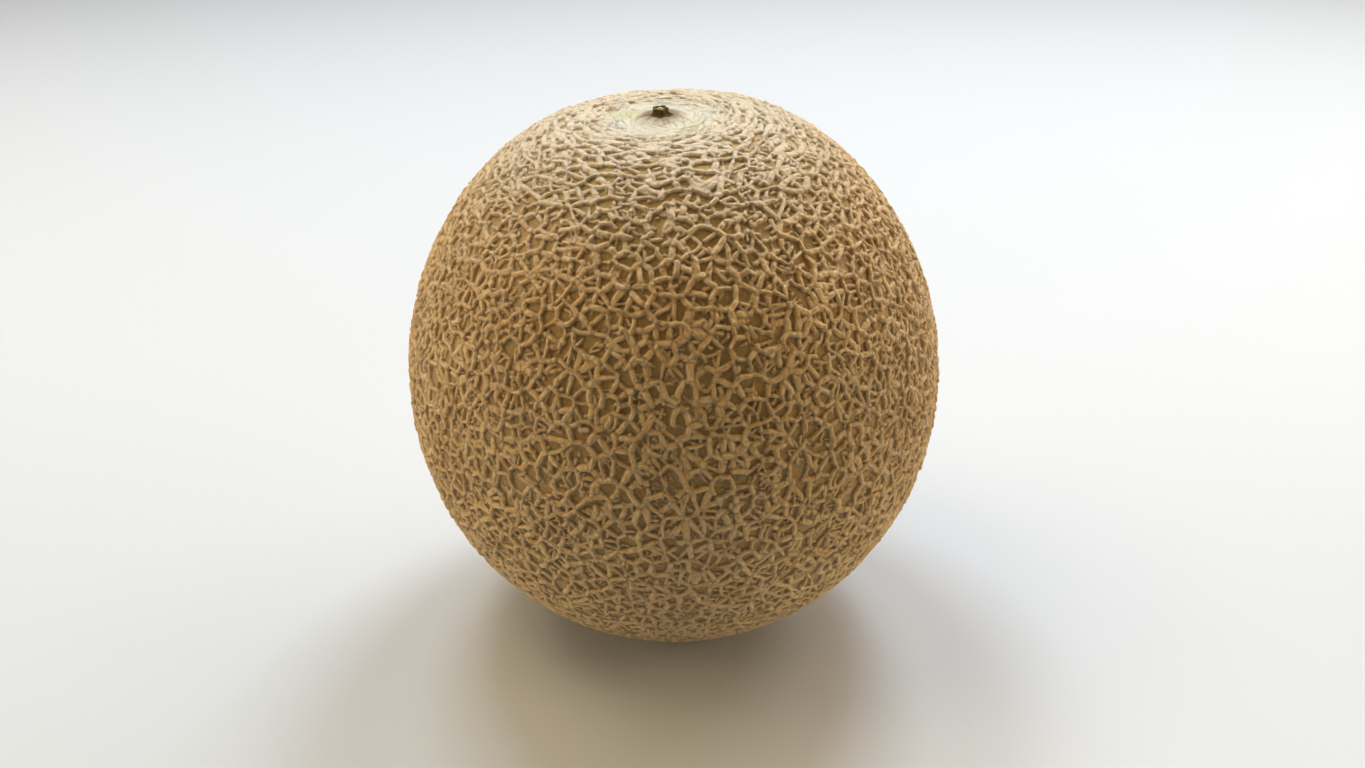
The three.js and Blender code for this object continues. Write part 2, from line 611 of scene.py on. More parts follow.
class Press:
    """Presses cords into a grid, keeping the tallest at each point and what it looks like there.

    A cord's height falls from its middle line to its edge as (1 - gap**CROWN)**SHOULDER. A CROWN of 2 is
    round, and more of it is flatter with steeper sides.
    """

    BATCH = 3000
    NEAREST_BATCH = 600
    CROWN = 3.0
    SHOULDER = 0.55
    SQUEEZE = 0.86
    FAR = 9.0

    def __init__(self, grid: FruitGrid, form: FruitForm, base: Array, normals: Array) -> None:
        """Starts with bare skin.

        Args:
            grid: The grid of directions.
            form: The fruit, which says where on the grid a point lies.
            base: The smooth skin's points, in millimetres.
            normals: The smooth skin's outward normals.
        """
        self.grid = grid
        self.form = form
        self.spacing = float(form.radii.mean()) * (math.pi / 2.0) / grid.cells * self.SQUEEZE
        self.base = base.astype(np.float32)
        self.normals = normals.astype(np.float32)
        total = len(base)
        self.rise = np.zeros(total, np.float32)
        self.side = np.zeros(total, np.float32)
        self.run = np.zeros(total, np.float32)
        self.tint = np.full(total, 0.5, np.float32)
        self.edge = np.ones(total, np.float32)

    def windows(self, directions: Array, reach: int) -> list[tuple[Array, Array, Array]]:
        """Finds the grid points round some directions.

        Args:
            directions: Where the windows lie.
            reach: How many cells a window extends each way.

        Returns:
            For each side of the grid: which directions it serves, the point numbers in their windows, and
            whether each of those is on the side.
        """
        cells = self.grid.cells
        offsets = np.arange(-reach, reach + 1)
        rows, columns = [a.ravel() for a in np.meshgrid(offsets, offsets, indexing="ij")]
        found = []
        for side, (out, right, up) in enumerate(self.grid.axes()):
            ahead = directions @ out
            slope = np.maximum(ahead, 1e-6)
            i = (np.arctan(directions @ right / slope) / (math.pi / 2.0) + 0.5) * cells
            j = (np.arctan(directions @ up / slope) / (math.pi / 2.0) + 0.5) * cells
            mine = (ahead > 0.3) & (np.minimum(i, j) > -reach) & (np.maximum(i, j) < cells + reach)
            which = np.flatnonzero(mine)
            row = np.rint(i[which]).astype(np.int32)[:, None] + rows
            column = np.rint(j[which]).astype(np.int32)[:, None] + columns
            inside = (row >= 0) & (row <= cells) & (column >= 0) & (column <= cells)
            ids = self.grid.ids[side][row.clip(0, cells), column.clip(0, cells)]
            found.append((which, ids, inside))
        return found

    def stamp(self, cords: Cords) -> None:
        """Presses the cords in.

        Args:
            cords: The runs to press.
        """
        middle = (cords.start + cords.end) / 2.0
        own = unit(((middle - self.form.middle) @ self.form.lean) / self.form.radii)
        need = np.linalg.norm(cords.end - cords.start, axis=1) / 2.0
        need += np.maximum(cords.half_start, cords.half_end)
        reach = np.ceil(need / self.spacing + 1.0).astype(int)
        for size in np.unique(reach):
            mine = np.flatnonzero(reach == size)
            for begin in range(0, len(mine), self.BATCH):
                self.stamp_batch(cords, own, mine[begin:begin + self.BATCH], int(size))

    def stamp_batch(self, cords: Cords, own: Array, chosen: Array, reach: int) -> None:
        """Presses a batch of runs that need windows of one size.

        Args:
            cords: All the runs.
            own: The direction of each run's middle.
            chosen: Which runs to press now.
            reach: How many cells their windows extend each way.
        """
        for which, ids, inside in self.windows(own[chosen], reach):
            pick = chosen[which]
            if not len(pick):
                continue
            start = cords.start[pick][:, None].astype(np.float32)
            along = (cords.end - cords.start)[pick][:, None].astype(np.float32)
            square = np.maximum(np.sum(along * along, -1), 1e-6)
            off = self.base[ids] - start
            t = np.clip(np.sum(off * along, -1) / square, 0.0, 1.0)
            gap = off - t[..., None] * along
            half = cords.half_start[pick][:, None] + t * (cords.half_end - cords.half_start)[pick][:, None]
            rise = cords.rise_start[pick][:, None] + t * (cords.rise_end - cords.rise_start)[pick][:, None]
            distance = np.linalg.norm(gap, axis=-1)
            near = np.clip(distance / half, 0.0, 1.0)
            height = (rise * (1.0 - near**self.CROWN) ** self.SHOULDER * inside).astype(np.float32)
            touched = height > 0.0
            where, height = ids[touched], height[touched]
            np.maximum.at(self.rise, where, height)
            won = height >= self.rise[where]
            where = where[won]
            left = np.sign(np.sum(np.cross(along, gap) * self.normals[ids], -1))
            self.side[where] = (left * distance)[touched][won]
            self.run[where] = (cords.run[pick][:, None] + t * np.sqrt(square))[touched][won]
            self.tint[where] = np.broadcast_to(cords.tint[pick][:, None], t.shape)[touched][won]
            self.edge[where] = near[touched][won]

    def nearest(self, directions: Array, values: Array, reach_mm: float) -> Array:
        """Gives each grid point the value of its nearest direction.

        Args:
            directions: Unit vectors in the fruit's own axes.
            values: One number for each.
            reach_mm: How far one may be.

        Returns:
            One number for each grid point.
        """
        reach = int(math.ceil(reach_mm / self.spacing))
        least = np.full(len(self.base), self.FAR, np.float32)
        result = np.zeros(len(self.base), np.float32)
        grid_directions = self.grid.directions.astype(np.float32)
        for begin in range(0, len(directions), self.NEAREST_BATCH):
            batch = directions[begin:begin + self.NEAREST_BATCH].astype(np.float32)
            given = values[begin:begin + self.NEAREST_BATCH].astype(np.float32)
            for which, ids, inside in self.windows(batch, reach):
                if not len(which):
                    continue
                gap = np.linalg.norm(grid_directions[ids] - batch[which][:, None], axis=-1)
                gap = np.where(inside, gap, self.FAR).astype(np.float32)
                np.minimum.at(least, ids, gap)
                won = gap <= least[ids]
                result[ids[won]] = np.broadcast_to(given[which][:, None], gap.shape)[won]
        return result


# Shader maths


class Value:
    """A socket in shader maths: operators on it add the Math nodes that work them out."""

    def __init__(self, graph: "Graph", socket: bpy.types.NodeSocket) -> None:
        """Wraps a socket of a graph."""
        self.graph = graph
        self.socket = socket

    def _math(self, operation: str, *terms: "Value | float") -> "Value":
        """Adds a Math node for an operation on the terms."""
        node = self.graph.node("ShaderNodeMath", {"operation": operation}, dict(enumerate(terms)))
        return Value(self.graph, node.outputs[0])

    def __add__(self, other: "Value | float") -> "Value":
        """Adds."""
        return self._math("ADD", self, other)

    def __radd__(self, other: float) -> "Value":
        """Adds, with the number first."""
        return self._math("ADD", other, self)

    def __sub__(self, other: "Value | float") -> "Value":
        """Subtracts."""
        return self._math("SUBTRACT", self, other)

    def __rsub__(self, other: float) -> "Value":
        """Subtracts from a number."""
        return self._math("SUBTRACT", other, self)

    def __mul__(self, other: "Value | float") -> "Value":
        """Multiplies."""
        return self._math("MULTIPLY", self, other)

    def __rmul__(self, other: float) -> "Value":
        """Multiplies, with the number first."""
        return self._math("MULTIPLY", other, self)

    def held(self) -> "Value":
        """Keeps the value between 0 and 1."""
        return self.eased(0.0, 1.0, "LINEAR")

    def eased(self, low: float, high: float, kind: str = "SMOOTHSTEP") -> "Value":
        """Maps low to 0 and high to 1, held there outside."""
        node = self.graph.node("ShaderNodeMapRange", {"interpolation_type": kind},
                               {"Value": self, "From Min": low, "From Max": high})
        return Value(self.graph, node.outputs[0])


class Graph:
    """A material's node tree, with the few moves that the finishes need."""

    def __init__(self, name: str) -> None:
        """Starts an empty material with an output."""
        self.material = bpy.data.materials.new(name)
        self.material.use_nodes = True
        self.tree = self.material.node_tree
        self.tree.nodes.clear()

    def node(self, kind: str, settings: dict | None = None, sockets: dict | None = None) -> bpy.types.Node:
        """Adds a node.

        Args:
            kind: The node's type.
            settings: Its properties, set first. "stops" gives a ramp's places and colours.
            sockets: Values or links for its inputs, by name or number.

        Returns:
            The node.
        """
        node = self.tree.nodes.new(kind)
        for name, value in (settings or {}).items():
            if name == "stops":
                self._set_stops(node.color_ramp, value)
            else:
                setattr(node, name, value)
        for name, value in (sockets or {}).items():
            if isinstance(value, Value):
                self.tree.links.new(value.socket, node.inputs[name])
            elif isinstance(value, tuple) and len(value) == 3 and node.inputs[name].type == "RGBA":
                node.inputs[name].default_value = (*value, 1.0)
            else:
                node.inputs[name].default_value = value
        return node

    @staticmethod
    def _set_stops(ramp: bpy.types.ColorRamp, stops: list[tuple[float, Colour]]) -> None:
        """Fills a ramp with its stops."""
        while len(ramp.elements) < len(stops):
            ramp.elements.new(1.0)
        for element, (place, colour) in zip(ramp.elements, stops):
            element.position = place
            element.color = (*colour, 1.0)

    def attribute(self, name: str) -> tuple[Value, Value, Value]:
        """Reads a vector attribute's three numbers."""
        node = self.node("ShaderNodeAttribute", {"attribute_name": name})
        split = self.node("ShaderNodeSeparateXYZ", None, {0: Value(self, node.outputs["Vector"])})
        return tuple(Value(self, out) for out in split.outputs)

    def vector(self, x: Value | float, y: Value | float, z: Value | float) -> Value:
        """Joins three numbers into a vector."""
        return Value(self, self.node("ShaderNodeCombineXYZ", None, {0: x, 1: y, 2: z}).outputs[0])

    def place(self) -> Value:
        """Reads the point's place on the object."""
        return Value(self, self.node("ShaderNodeTexCoord").outputs["Object"])

    def noise(self, where: Value, scale: float, detail: float = 3.0, roughness: float = 0.55) -> Value:
        """Reads noise, mostly between 0.3 and 0.7, at a place."""
        node = self.node("ShaderNodeTexNoise", None, {"Vector": where, "Scale": scale, "Detail": detail,
                                                      "Roughness": roughness})
        return Value(self, node.outputs[0])

    def ramp(self, factor: Value, stops: list[tuple[float, Colour]]) -> Value:
        """Looks a colour up in a ramp."""
        return Value(self, self.node("ShaderNodeValToRGB", {"stops": stops}, {0: factor}).outputs[0])

    def mix(self, factor: Value, one: Value | Colour, other: Value | Colour) -> Value:
        """Mixes two colours: one at factor 0, other at 1."""
        node = self.node("ShaderNodeMix", {"data_type": "RGBA"}, {0: factor, 6: one, 7: other})
        return Value(self, node.outputs[2])

    def bump(self, height: Value, distance: float, strength: float) -> Value:
        """Turns a height from 0 to 1, so many metres tall, into a normal."""
        node = self.node("ShaderNodeBump", None, {"Height": height, "Distance": distance,
                                                  "Strength": strength})
        return Value(self, node.outputs[0])

    def surface(self, sockets: dict) -> bpy.types.Material:
        """Ends the tree in a Principled shader with these sockets, and returns the material."""
        shader = self.node("ShaderNodeBsdfPrincipled", None, sockets)
        self.node("ShaderNodeOutputMaterial", None, {0: Value(self, shader.outputs[0])})
        return self.material


# Finishes


@dataclass(frozen=True)
class RindFinish:
    """Dry tan cork over olive and brown skin, paler round the stem from real bleaching and painted light
    from above, and plain at the foot; shade is painted along the cords' flanks and in the net's hollows, and
    floor bounce light is painted on as paler lower parts.
    """

    cork: Colour = (0.70, 0.435, 0.148)
    cork_pale: Colour = (0.81, 0.59, 0.28)
    cork_deep: Colour = (0.51, 0.29, 0.085)
    cork_grey: Colour = (0.57, 0.42, 0.22)
    # Paler cork for the lower part: painted bounce light from the floor.
    cork_painted_floor_bounce: Colour = (0.88, 0.58, 0.22)
    # Pale cream round the stem: partly the cork's real bleaching, partly painted light on the upper side.
    bleach_and_painted_top_light: Colour = (0.74, 0.65, 0.51)
    skin_grey: Colour = (0.35, 0.26, 0.11)
    skin_olive: Colour = (0.36, 0.23, 0.055)
    skin_brown: Colour = (0.38, 0.213, 0.042)
    skin_amber: Colour = (0.43, 0.23, 0.045)
    # Olive-golden slot floors near the stem: partly their real colour, partly painted warm bounce light.
    slot_olive_and_painted_bounce: Colour = (0.50, 0.34, 0.10)
    # Dark brown for the skin's real specks, and for painted shade along the cords' flanks and in the net's
    # hollows.
    speck_and_painted_shade: Colour = (0.11, 0.053, 0.009)
    foot_rust: Colour = (0.42, 0.20, 0.045)
    scar_cream: Colour = (0.70, 0.675, 0.57)
    scar_green: Colour = (0.58, 0.61, 0.38)
    scar_white: Colour = (0.80, 0.83, 0.80)
    scar_blue: Colour = (0.44, 0.46, 0.43)
    scar_grey: Colour = (0.26, 0.23, 0.18)
    scar_brown: Colour = (0.25, 0.16, 0.055)
    scar_bark: Colour = (0.13, 0.082, 0.024)

    def material(self) -> bpy.types.Material:
        """Builds the finish's nodes.

        Returns:
            The material.
        """
        g = Graph("rind")
        relief, cell, strand = g.attribute("relief")
        side, run, edge = g.attribute("cord")
        spoke_x, spoke_y, polar = g.attribute("stem")
        net, shade, from_stem = g.attribute("zone")
        wrinkle, crack, top = g.attribute("scar")
        place = g.place()
        blotch = g.noise(place, 55.0, 3.0)
        speck = g.noise(place, 900.0, 4.0, 0.65)
        grit = g.noise(place, 2400.0, 3.0, 0.7)
        fibre = g.noise(g.vector(side * 1.6, run * 0.22, strand * 40.0), 1.0, 3.0, 0.65)
        # Near the stem, fading out well down the upper side. Whitening under this mask is partly real
        # bleaching and partly painted light from above.
        pale = polar.eased(0.95, 0.3)
        patch = g.noise(place, 22.0, 2.0).eased(0.5, 0.68)

        skin = g.ramp((cell * 0.8 + blotch * 0.4 - 0.1).held(), [
            (0.0, self.skin_grey), (0.1, self.skin_olive), (0.6, self.skin_brown), (0.97, self.skin_amber)])
        # Real dark specks on the skin.
        skin = g.mix((speck * 1.4 - 0.65).held(), skin, self.speck_and_painted_shade)
        # The lower part of the fruit, where the floor's bounce light is painted in as paler skin and cork.
        low = polar.eased(1.35, 2.15)
        # Slots near the stem turn olive-golden: partly real colour, partly painted warm bounce light.
        skin = g.mix(pale * 0.8, skin, self.slot_olive_and_painted_bounce)
        # Painted floor bounce light: the skin is paler towards the bottom.
        skin = g.mix(low * 0.6, skin, self.cork_deep)
        cork = g.mix((strand * 0.5 + fibre * 0.9 - 0.25).held(), self.cork_deep, self.cork)
        cork = g.mix(((fibre - 0.5) * 3.6 + (blotch - 0.5) * 1.2 + 0.15).held(), cork, self.cork_pale)
        cork = g.mix(patch * 0.25, cork, self.cork_grey)
        # Painted floor bounce light: the cork is paler towards the bottom.
        cork = g.mix(low * 0.7, cork, self.cork_painted_floor_bounce)
        # Partly real bleaching, partly painted light: the cork whitens towards the stem and over the upper
        # side.
        cork = g.mix((pale * (1.2 - 0.5 * fibre)).held(), cork, self.bleach_and_painted_top_light)
        cork = g.mix((grit * 2.8 - 1.35).held() * (0.6 - 0.35 * pale), cork, self.cork_deep)
        # Painted shade: the cork darkens towards each cord's flank, where its side falls into shadow.
        cork = g.mix(edge.eased(0.75, 1.0) * 0.5, cork, self.speck_and_painted_shade)
        colour = g.mix(relief.eased(0.08, 0.36), skin, cork)
        # Painted shade: points lying deeper than their surroundings are darkened.
        colour = g.mix(shade.eased(0.06, 0.45) * (0.34 - 0.26 * pale), colour, self.speck_and_painted_shade)
        foot = g.mix(g.noise(place, 240.0, 4.0, 0.7).eased(0.35, 0.65), self.skin_olive, self.foot_rust)
        foot = g.mix((speck * 1.6 - 0.55).held(), foot, self.cork_pale)
        colour = g.mix(net.eased(0.8, 0.15) * polar.eased(1.9, 2.1), colour, foot)

        spokes = g.noise(g.vector(spoke_x * 3.2, spoke_y * 3.2, from_stem * 0.06), 1.7, 4.0, 0.7)
        tints = g.noise(place, 95.0, 3.0, 0.6)
        scar = g.mix(tints.eased(0.45, 0.62), self.scar_cream, self.scar_green)
        scar = g.mix(g.noise(place, 150.0, 4.0, 0.7).eased(0.52, 0.62) * from_stem.eased(8.0, 14.0) * 0.8,
                     scar, self.scar_blue)
        scar = g.mix(g.noise(place, 330.0, 3.0).eased(0.62, 0.72), scar, self.scar_white)
        scar = g.mix((spokes.eased(0.52, 0.66) * from_stem.eased(12.0, 5.0) * 0.6).held(), scar,
                     self.scar_blue)
        scar = g.mix((from_stem.eased(8.5, 3.4) * (spokes * 3.4 - 0.75)).held(), scar, self.scar_brown)
        scar = g.mix((from_stem.eased(6.0, 3.2) * (spokes * 1.2 + 0.3)).held(), scar, self.scar_bark)
        rim = from_stem + (tints - 0.5) * 8.0 + (speck - 0.5) * 3.0
        colour = g.mix(rim.eased(16.0, 13.0) * top, colour, scar)
        colour = g.mix(crack * 0.75, colour, self.scar_grey)
        return g.surface({
            "Base Color": colour,
            "Roughness": 0.6 + 0.32 * speck,
            "Specular IOR Level": 0.45,
            "Sheen Weight": 0.66,
            "Sheen Roughness": 0.5,
            "Sheen Tint": (1.0, 0.93, 0.82, 1.0),
            "Normal": g.bump(fibre * 0.6 + grit * 0.45 + speck * 0.3, 0.0008, 1.0),
        })


@dataclass(frozen=True)
class StalkFinish:
    """Dark, dried, fibrous stalk with a paler pith."""

    bark: Colour = (0.045, 0.03, 0.009)
    fibre: Colour = (0.17, 0.11, 0.038)
    pith: Colour = (0.52, 0.48, 0.17)

    def material(self) -> bpy.types.Material:
        """Builds the finish's nodes.

        Returns:
            The material.
        """
        g = Graph("dried_stalk")
        turn, height, pith = g.attribute("grain")
        place = g.place()
        streak = g.noise(g.vector(turn * 9.0, height * 0.8, 0.0), 1.0, 3.0, 0.6)
        grit = g.noise(place, 2200.0, 3.0, 0.6)
        colour = g.mix((streak * 1.4 - 0.35).held(), self.bark, self.fibre)
        colour = g.mix((pith * (grit * 0.8 + 0.5)).held(), colour, self.pith)
        return g.surface({
            "Base Color": colour,
            "Roughness": 0.7 + 0.25 * grit,
            "Specular IOR Level": 0.3,
            "Normal": g.bump(streak * 0.7 + grit * 0.3, 0.0003, 0.9),
        })


@dataclass(frozen=True)
class FloorFinish:
    """A plain pale tabletop."""

    colour: Colour = (0.525, 0.555, 0.60)

    def material(self) -> bpy.types.Material:
        """Builds the finish's nodes, and returns the material."""
        g = Graph("tabletop")
        return g.surface({"Base Color": self.colour, "Roughness": 0.55, "Specular IOR Level": 0.3})


def mesh_from(name: str, points: Array, quads: Array) -> bpy.types.Mesh:
    """Makes a smooth-shaded mesh.

    Args:
        name: The mesh's name.
        points: Its vertices, in metres.
        quads: Four vertex numbers for each face.

    Returns:
        The mesh.
    """
    mesh = bpy.data.meshes.new(name)
    mesh.vertices.add(len(points))
    mesh.vertices.foreach_set("co", points.astype(np.float32).ravel())
    mesh.loops.add(quads.size)
    mesh.loops.foreach_set("vertex_index", quads.astype(np.int32).ravel())
    mesh.polygons.add(len(quads))
    mesh.polygons.foreach_set("loop_start", np.arange(0, quads.size, 4, dtype=np.int32))
    mesh.update(calc_edges=True)
    mesh.shade_smooth()
    return mesh


def vector_attribute(mesh: bpy.types.Mesh, name: str, *columns: Array) -> None:
    """Stores three numbers for each vertex under a name."""
    values = np.stack(columns, 1).astype(np.float32)
    mesh.attributes.new(name, "FLOAT_VECTOR", "POINT").data.foreach_set("vector", values.ravel())


# The fruit


@dataclass
class Rind:
    """The whole outside of the fruit: skin, cork net, stem scar and resting spot."""

    form: FruitForm
    finish: RindFinish = field(default_factory=RindFinish)
    cells: int = 440
    scar_radius: float = 14.3
    cord_rise: float = 0.95
    crack_rings: tuple[float, ...] = (12.4, 13.7, 15.2, 16.9, 18.8)
    quick_cells: int = 120
    sharpen: float = 0.5
    most_rise: float = 1.12
    lumpy: float = 0.13
    crumbly: float = 0.045
    crack_depth: float = 0.4
    tint_seed: int = 5
    tint_reach: float = 6.5

    def build(self) -> bpy.types.Object:
        """Builds the rind.

        Returns:
            The object, dressed and riding on the frame.
        """
        grid = FruitGrid(self.cells)
        base = self.form.skin(grid.directions)
        normals = self.base_normals(grid, base)
        press = Press(grid, self.form, base, normals)
        cells = self.weave(press)
        smoother = Smoother(grid)
        rise = smoother.soften(press.rise.astype(float), 1)
        rise += self.sharpen * (rise - smoother.soften(rise, 2))
        rise = np.clip(rise, 0.0, self.most_rise * self.cord_rise)
        rise *= 1.0 + self.lumpy * Ripple(11, 1.7, 20).at(base)
        cover = np.clip(rise / self.cord_rise, 0.0, 1.0)
        reach = self.net_reach(grid.directions)
        own = (base - self.form.middle) @ self.form.lean
        radius = np.maximum(np.linalg.norm(own[:, :2], axis=1), 1e-6)
        spokes = own[:, :2] / radius[:, None]
        wrinkle, crack = self.scar_relief(own, radius, spokes)
        crumbs = self.crumbly * Ripple(12, 1.0, 24).at(base) * (0.25 + 0.75 * reach)
        rise = rise * reach + crumbs + wrinkle - self.crack_depth * crack
        points = base + normals * (rise - self.cord_rise * reach)[:, None]
        points[:, 2] = np.maximum(points[:, 2], self.form.low.z / MM)
        mesh = mesh_from("rind", points * MM, grid.quads)
        tints = np.random.default_rng(self.tint_seed).random(len(cells))
        tint = press.nearest(cells, tints, self.tint_reach)
        # How far each point lies below its surroundings; the finish paints this as shade.
        shade = smoother.soften(rise, 5) - rise
        polar = np.arccos(np.clip(grid.directions[:, 2], -1.0, 1.0))
        vector_attribute(mesh, "relief", cover, tint, press.tint)
        vector_attribute(mesh, "cord", press.side, press.run, press.edge)
        vector_attribute(mesh, "stem", spokes[:, 0], spokes[:, 1], polar)
        vector_attribute(mesh, "zone", reach, np.clip(shade / self.cord_rise, -1.0, 1.0), radius)
        vector_attribute(mesh, "scar", wrinkle, crack, np.where(own[:, 2] > 0.0, 1.0, 0.0))
        layer = mesh.uv_layers.new(name="OFBake")
        layer.uv.foreach_set("vector", grid.map_corners().astype(np.float32).ravel())
        rind = bpy.data.objects.new("rind", mesh)
        bpy.context.scene.collection.objects.link(rind)
        rind.data.materials.append(self.finish.material())
        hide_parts("melon")
        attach(rind, ROOT)
        return rind

    def scar_relief(self, own: Array, radius: Array, spokes: Array) -> tuple[Array, Array]:
        """Shapes the scar: spokes of wrinkles over soft lumps, and broken rings of cracks at its border.

        Args:
            own: The skin's points in the fruit's own axes, in millimetres.
            radius: Their distances from the stem axis.
            spokes: Unit vectors away from the axis.

        Returns:
            How far the wrinkles stand up, in millimetres, and how deep the cracks are, from 0 to 1.
        """
        near = (own[:, 2] > 0.0) & (radius < 26.0)
        flat = np.concatenate([own[near, :2], np.zeros((near.sum(), 1))], 1)
        r, turn = radius[near], np.concatenate([spokes[near], radius[near, None] * 0.035], 1)
        fan = Ripple(51, 0.5, 14).at(turn) * 0.17 * smoothstep(r, 10.5, 4.0)
        lumps = Ripple(53, 6.0).at(flat) * 0.16 * smoothstep(r, 17.0, 9.0)
        rings = np.zeros(len(r))
        bend = r + 0.55 * Ripple(54, 7.0).at(flat) + 0.25 * Ripple(55, 2.4).at(flat)
        for number, ring in enumerate(self.crack_rings):
            there = smoothstep(Ripple(56 + number, 0.9).at(turn), -0.1, 0.5)
            rings = np.maximum(rings, there * np.exp(-(((bend - ring) / 0.3) ** 2)))
        wrinkle, crack = np.zeros(len(own)), np.zeros(len(own))
        wrinkle[near], crack[near] = fan + lumps, rings
        return wrinkle, crack

    def base_normals(self, grid: FruitGrid, base: Array) -> Array:
        """Works the smooth skin's normals out from its quads."""
        corners = base[grid.quads]
        flat = np.cross(corners[:, 2] - corners[:, 0], corners[:, 3] - corners[:, 1])
        total = np.zeros_like(base)
        for corner in range(4):
            for axis in range(3):
                total[:, axis] += np.bincount(grid.quads[:, corner], flat[:, axis], len(base))
        return unit(total)

    def weave(self, press: Press) -> Array:
        """Presses every layer of the net in, from the finest to the stoutest.

        Returns:
            The middles of the second net's cells, which tint the skin between the cords.
        """
        grain = Grain()
        crumbs = LooseFingers(self.form, grain, 71, 6200, (0.5, 1.4), 0.26, 0.6, knots=520)
        fingers = LooseFingers(self.form, grain, 61, 2400, (1.6, 3.2), 0.42, 0.62)
        fine = CellNet(self.form, grain, 41, 3.9, 0.5, 0.72, gone=0.4, fingers=0.27)
        stout = CellNet(self.form, grain, 21, 4.1, 0.69, self.cord_rise, gone=0.05, fingers=0.13)
        for layer in (crumbs, fingers, fine, stout):
            press.stamp(layer.cords())
        return CellNet(self.form, grain, 41, 3.9, 0.5, 0.72).seeds()

    def net_reach(self, directions: Array) -> Array:
        """Says how tall the net stands, from 0 to 1: none in the scar, little at the foot."""
        polar = np.degrees(np.arccos(np.clip(directions[:, 2], -1.0, 1.0)))
        ragged = Ripple(9, 0.16).at(directions) * 1.2
        scar = math.degrees(self.scar_radius / self.form.radii[0])
        from_scar = smoothstep(polar + ragged, scar - 1.5, scar + 3.0)
        along = np.interp(polar, [0.0, 12.0, 20.0, 112.0, 128.0, 140.0, 152.0, 166.0, 180.0],
                          [0.6, 0.75, 1.0, 1.0, 0.75, 0.4, 0.18, 0.06, 0.0])
        return from_scar * along


@dataclass
class StalkStub:
    """What is left of the stalk: a ridged, torn column on a flared foot."""

    form: FruitForm
    low: Vector
    high: Vector
    finish: StalkFinish = field(default_factory=StalkFinish)
    around: int = 120
    ridges: int = 5

    PROFILE = (
        (1.4, -0.2), (1.18, -0.06), (0.98, 0.04), (0.82, 0.14), (0.72, 0.26), (0.68, 0.36), (0.7, 0.46),
        (0.74, 0.55), (0.74, 0.61), (0.66, 0.64), (0.57, 0.6), (0.48, 0.5), (0.4, 0.44), (0.32, 0.5),
        (0.2, 0.62), (0.08, 0.66),
    )
    STEPS = 60
    FOOT_STEPS = 8

    def build(self) -> bpy.types.Object:
        """Builds the stub.

        Returns:
            The object, dressed and riding on the frame.
        """
        radius = (self.high.x - self.low.x) / MM / 2.0 * 0.76
        tall = (self.high.z - self.low.z) / MM
        profile = np.array(self.PROFILE)
        fine = np.linspace(0, len(profile) - 1, self.STEPS)
        reach = np.interp(fine, np.arange(len(profile)), profile[:, 0]) * radius
        height = np.interp(fine, np.arange(len(profile)), profile[:, 1]) * tall
        angle = np.arange(self.around) * (2.0 * math.pi / self.around)
        coarse = Ripple(31, 1.5)
        a, h = np.meshgrid(angle, height)
        r = np.broadcast_to(reach[:, None], a.shape)
        ridge = 0.1 * np.cos(self.ridges * a + 0.4) * smoothstep(r / radius, 0.3, 0.9)
        points = np.stack([r * np.cos(a), r * np.sin(a), h], -1).reshape(-1, 3)
        rough = coarse.at(points * [1.0, 1.0, 0.35]).reshape(a.shape)
        torn = Ripple(33, 1.9).at(points * [1.0, 1.0, 0.0]).reshape(a.shape)
        top = smoothstep(h / tall, 0.5, 0.9)
        r = r * (1.0 + ridge + 0.06 * rough)
        h = h + top * (0.38 * torn - 0.1) * smoothstep(r / radius, 0.15, 0.6)
        own = np.stack([r * np.cos(a), r * np.sin(a), h], -1).reshape(-1, 3)
        points = own @ self.form.lean.T + self.form.stalk_seat()
        rings, around = a.shape
        ids = np.arange(rings * around).reshape(rings, around)
        beside = np.roll(ids, -1, 1)
        quads = np.stack([ids[:-1], beside[:-1], beside[1:], ids[1:]], -1).reshape(-1, 4)
        mesh = mesh_from("stalk_stub", points * MM, quads)
        self.close(mesh, ids)
        pith = smoothstep(np.broadcast_to(reach[:, None], a.shape).ravel() / radius, 0.5, 0.2)
        pith *= (fine[:, None] > self.FOOT_STEPS).repeat(around, 1).ravel()
        vector_attribute(mesh, "grain", a.ravel(), own[:, 2], pith)
        stub = bpy.data.objects.new("stalk_stub", mesh)
        bpy.context.scene.collection.objects.link(stub)
        stub.data.materials.append(self.finish.material())
        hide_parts("stem_stub")
        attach(stub, ROOT)
        return stub

    @staticmethod
    def close(mesh: bpy.types.Mesh, ids: Array) -> None:
        """Closes the stub's foot and its top with a face each."""
        work = bmesh.new()
        work.from_mesh(mesh)
        work.verts.ensure_lookup_table()
        work.faces.new([work.verts[i] for i in ids[0][::-1]])
        work.faces.new([work.verts[i] for i in ids[-1]])
        work.to_mesh(mesh)
        work.free()


# The studio


class Panel(Enum):
    """The widths and heights of the soft lights, in metres."""

    SMALL = (0.45, 0.4)
    LARGE = (0.9, 0.7)


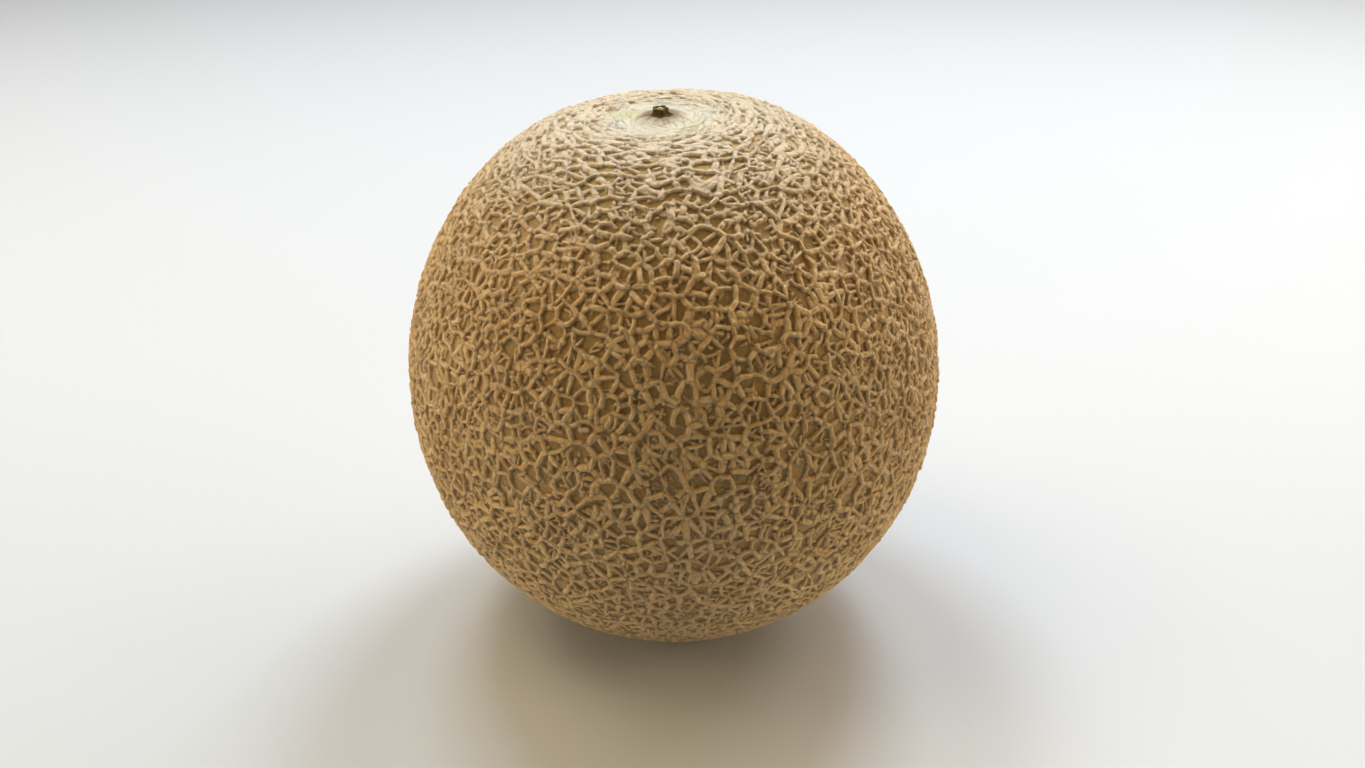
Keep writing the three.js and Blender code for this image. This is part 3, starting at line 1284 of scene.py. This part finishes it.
@dataclass
class Studio:
    """Floor, soft lights and camera."""

    centre: Vector
    half_width: float
    tilt: float = math.radians(28.0)
    distance: float = 4.88
    lens: float = 33.441758
    aim_right: float = 0.033
    aim_down: float = 0.075
    lamp_distance: float = 1.4
    world_strength: float = 0.01
    floor_reach: float = 4.0

    LAMPS = (
        ("window", Panel.SMALL, 155.0, 54.0, 12.4, (0.84, 0.93, 1.0)),
        ("window_left", Panel.SMALL, 207.0, 60.0, 9.8, (0.86, 0.93, 1.0)),
        ("glow_right", Panel.LARGE, 130.0, 35.0, 8.0, (1.0, 0.88, 0.78)),
        ("glow_left", Panel.LARGE, 230.0, 35.0, 1.5, (1.0, 0.95, 0.88)),
        ("ceiling_left", Panel.LARGE, 270.0, 62.0, 7.8, (1.0, 0.85, 0.56)),
        ("ceiling_front", Panel.LARGE, 0.0, 62.0, 2.3, (1.0, 0.72, 0.40)),
        ("wall_left", Panel.LARGE, 270.0, 14.0, 10.4, (1.0, 0.78, 0.50)),
        ("wall_right", Panel.LARGE, 90.0, 14.0, 10.6, (1.0, 0.80, 0.50)),
    )

    def build(self) -> None:
        """Sets the whole studio up."""
        self.floor()
        self.lights()
        self.camera()
        bpy.context.scene.view_settings.view_transform = "Standard"

    def floor(self) -> None:
        """Lays a wide pale tabletop at height 0."""
        far = self.floor_reach
        corners = [(-far, -far, 0.0), (far, -far, 0.0), (far, far, 0.0), (-far, far, 0.0)]
        mesh = mesh_from("tabletop", np.array(corners), np.array([[0, 1, 2, 3]]))
        floor = bpy.data.objects.new("tabletop", mesh)
        floor.data.materials.append(FloorFinish().material())
        bpy.context.scene.collection.objects.link(floor)

    def lights(self) -> None:
        """Hangs the lamps and sets a dim, even world."""
        for lamp in self.LAMPS:
            self.panel(*lamp)
        world = bpy.data.worlds.new("room")
        world.use_nodes = True
        background = world.node_tree.nodes["Background"]
        background.inputs[0].default_value = (1.0, 1.0, 1.0, 1.0)
        background.inputs[1].default_value = self.world_strength
        bpy.context.scene.world = world

    def panel(self, name: str, panel: Panel, turn: float, climb: float, power: float,
              colour: Colour) -> None:
        """Hangs one soft light, facing the fruit.

        Args:
            name: The light's name.
            panel: Its size.
            turn: Its direction from the fruit, in degrees: 0 towards the camera, 90 to the right.
            climb: How high it hangs, in degrees over the fruit's middle.
            power: In watts.
            colour: Its colour.
        """
        away = Vector((0.0, -self.lamp_distance, 0.0))
        away.rotate(Euler((-math.radians(climb), 0.0, 0.0)))
        away.rotate(Euler((0.0, 0.0, math.radians(turn))))
        light = bpy.data.lights.new(name, "AREA")
        light.shape = "RECTANGLE"
        light.size, light.size_y = panel.value
        light.energy = power
        light.color = colour
        lamp = bpy.data.objects.new(name, light)
        lamp.location = self.centre + away
        lamp.rotation_euler = (-away).to_track_quat("-Z", "Y").to_euler()
        bpy.context.scene.collection.objects.link(lamp)

    def camera(self) -> None:
        """Sets the camera in front of the fruit, looking down on it."""
        ahead = Vector((0.0, math.cos(self.tilt), -math.sin(self.tilt)))
        up = Vector((0.0, math.sin(self.tilt), math.cos(self.tilt)))
        right = Vector((1.0, 0.0, 0.0))
        aim = self.centre + (right * self.aim_right - up * self.aim_down) * self.half_width
        data = bpy.data.cameras.new("camera")
        data.sensor_width = 36.0
        data.lens = self.lens
        data.clip_start = 0.01
        camera = bpy.data.objects.new("camera", data)
        camera.location = aim - ahead * self.distance * self.half_width
        camera.rotation_euler = ahead.to_track_quat("-Z", "Y").to_euler()
        bpy.context.scene.collection.objects.link(camera)
        bpy.context.scene.camera = camera


def main() -> None:
    """Builds the melon on its frame, and the studio round it."""
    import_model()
    form = FruitForm(*(Vector(corner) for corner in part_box("melon")))
    makers = (Rind(form), StalkStub(form, *(Vector(corner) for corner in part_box("stem_stub"))))
    for maker in makers:
        piece = maker.build()
        LOG.info("%s: %d faces, top at %.2f mm", piece.name, len(piece.data.polygons),
                 max(v.co.z for v in piece.data.vertices) / MM)
    centre = Vector(form.middle) * MM
    Studio(centre, float(form.radii[0]) * MM).build()


if __name__ == "__main__":
    main()
